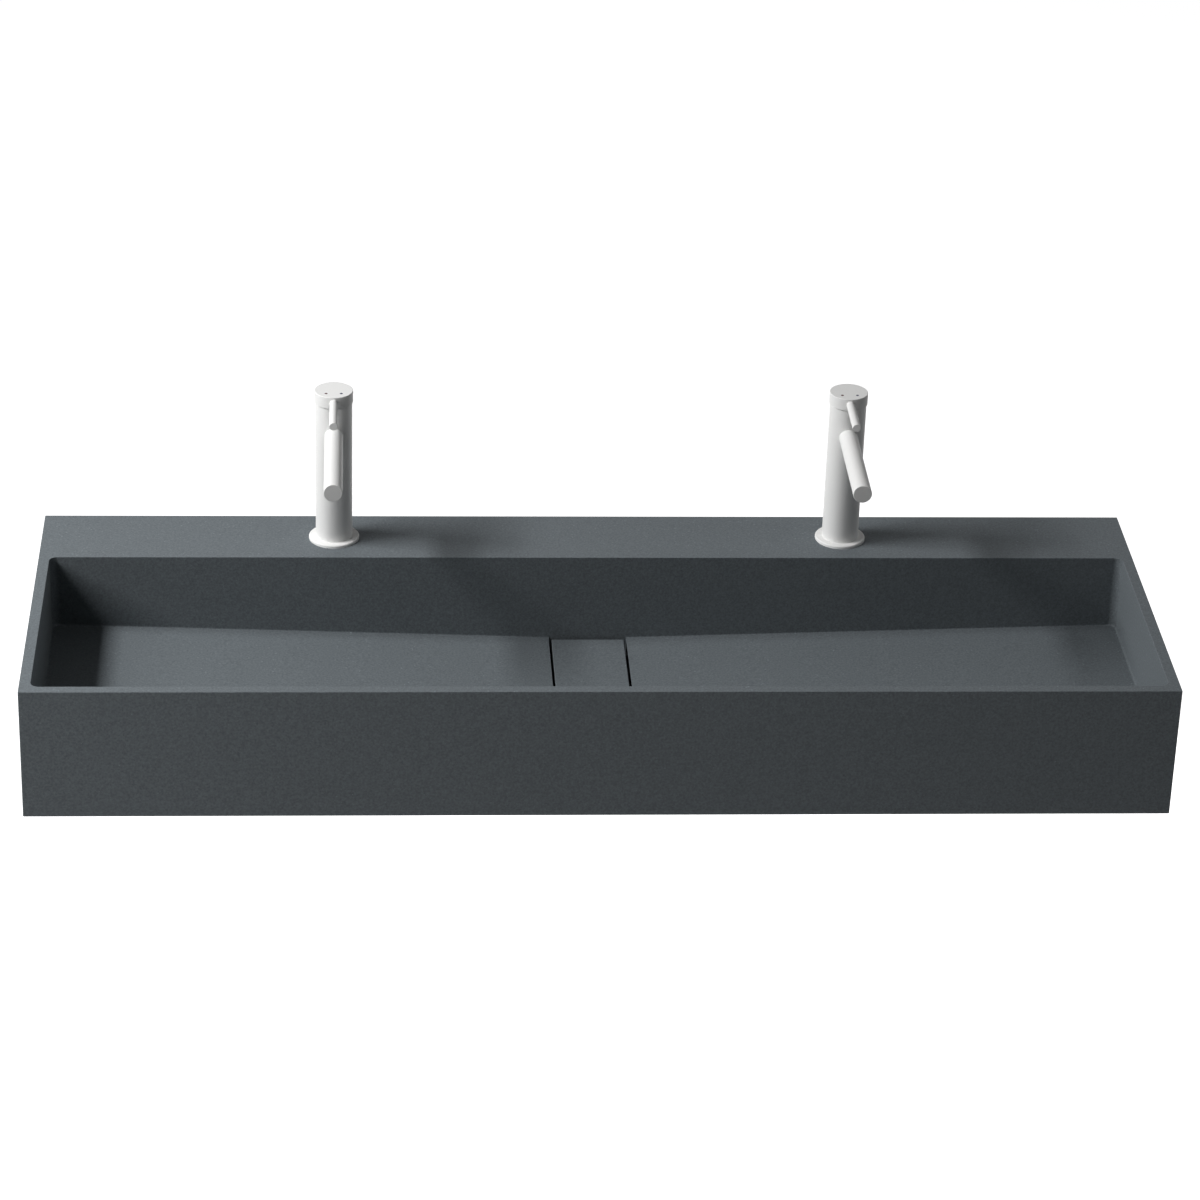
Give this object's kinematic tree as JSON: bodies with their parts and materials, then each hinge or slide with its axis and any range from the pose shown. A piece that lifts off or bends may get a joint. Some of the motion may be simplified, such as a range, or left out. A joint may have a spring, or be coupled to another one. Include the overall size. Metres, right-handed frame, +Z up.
{
  "type": "double washbasin",
  "caption": "Wall-hung dark grey trough washbasin with a rear deck, a hidden drain under a lift-out cover and single-lever tube mixers in matte white.",
  "frame": {"origin": "centre of the four wall bolts, on the wall's surface", "axes": "+X along the basin's length, +Y into the wall, +Z up; the front faces -Y"},
  "size_m": [1.2, 0.4, 0.3655],
  "materials": {
    "solid_surface": "matte dark grey solid surface",
    "matte_white": "matte white powder coat",
    "rubber": "black seal rubber",
    "waste_steel": "brushed",
    "bracket_steel": "black powder coat",
    "bolt_steel": "zinc plated",
    "brass": "turned",
    "aerator_metal": "satin",
    "inner_plastic": "moulded",
    "disc_ceramic": "lapped",
    "hot_enamel": "red enamel",
    "cold_enamel": "blue enamel"
  },
  "bodies": {
    "basin": {"basin_body": "solid_surface", "waste_flange": "waste_steel", "waste_strainer": "waste_steel", "waste_top_gasket": "rubber", "waste_bottom_gasket": "rubber", "waste_nut": "brass", "left_bracket": "bracket_steel", "right_bracket": "bracket_steel", "support_blocks": "solid_surface", "block_inserts": "brass", "bracket_bolts": "bolt_steel", "bracket_washers": "bolt_steel", "tap_studs": "bolt_steel", "stud_nuts": "brass", "shoe_gaskets": "rubber", "shoe_washers": "bolt_steel", "left_tap_body": "matte_white", "left_base_flange": "matte_white", "left_base_gasket": "rubber", "left_spout": "matte_white", "left_aerator_housing": "aerator_metal", "left_aerator_insert": "inner_plastic", "left_cartridge_housing": "inner_plastic", "left_cartridge_seals": "rubber", "left_fixed_disc": "disc_ceramic", "left_cartridge_nut": "brass", "right_tap_body": "matte_white", "right_base_flange": "matte_white", "right_base_gasket": "rubber", "right_spout": "matte_white", "right_aerator_housing": "aerator_metal", "right_aerator_insert": "inner_plastic", "right_cartridge_housing": "inner_plastic", "right_cartridge_seals": "rubber", "right_fixed_disc": "disc_ceramic", "right_cartridge_nut": "brass"},
    "cover": {"drain_cover": "solid_surface", "cover_feet": "rubber"},
    "left_swivel": {"left_swivel_carrier": "inner_plastic", "left_stem_pin": "bolt_steel"},
    "left_handle": {"left_stem": "brass", "left_handle_head": "matte_white", "left_lever": "matte_white", "left_grub_screw": "bolt_steel", "left_hot_mark": "hot_enamel", "left_cold_mark": "cold_enamel"},
    "left_valve": {"left_moving_disc": "disc_ceramic", "left_disc_coupler": "inner_plastic"},
    "right_swivel": {"right_swivel_carrier": "inner_plastic", "right_stem_pin": "bolt_steel"},
    "right_handle": {"right_stem": "brass", "right_handle_head": "matte_white", "right_lever": "matte_white", "right_grub_screw": "bolt_steel", "right_hot_mark": "hot_enamel", "right_cold_mark": "cold_enamel"},
    "right_valve": {"right_moving_disc": "disc_ceramic", "right_disc_coupler": "inner_plastic"}
  },
  "joints": [
    {"name": "cover_lift", "type": "slide", "parent": "basin", "child": "cover", "axis": [0, 0, 1], "range_m": [0, 0.15]},
    {"name": "left_turn", "type": "hinge", "parent": "basin", "child": "left_swivel", "pos_m": [-0.28, -0.052, 0.2305], "axis": [0, 0, 1], "range_deg": [-45, 45]},
    {"name": "left_lift", "type": "hinge", "parent": "left_swivel", "child": "left_handle", "pos_m": [-0.28, -0.052, 0.2305], "axis": [-1, 0, 0], "range_deg": [0, 16]},
    {"name": "left_valve_slide", "type": "slide", "parent": "left_swivel", "child": "left_valve", "axis": [0, -1, 0], "range_m": [0, 0.0025]},
    {"name": "right_turn", "type": "hinge", "parent": "basin", "child": "right_swivel", "pos_m": [0.28, -0.052, 0.2305], "axis": [0, 0, 1], "range_deg": [-45, 45]},
    {"name": "right_lift", "type": "hinge", "parent": "right_swivel", "child": "right_handle", "pos_m": [0.28, -0.052, 0.2305], "axis": [-1, 0, 0], "range_deg": [0, 16]},
    {"name": "right_valve_slide", "type": "slide", "parent": "right_swivel", "child": "right_valve", "axis": [0, -1, 0], "range_m": [0, 0.0025]}
  ],
  "couplings": [
    {"joint": "left_valve_slide", "follows": "left_lift", "m_per_rad": 0.0085},
    {"joint": "right_valve_slide", "follows": "right_lift", "m_per_rad": 0.0085}
  ]
}
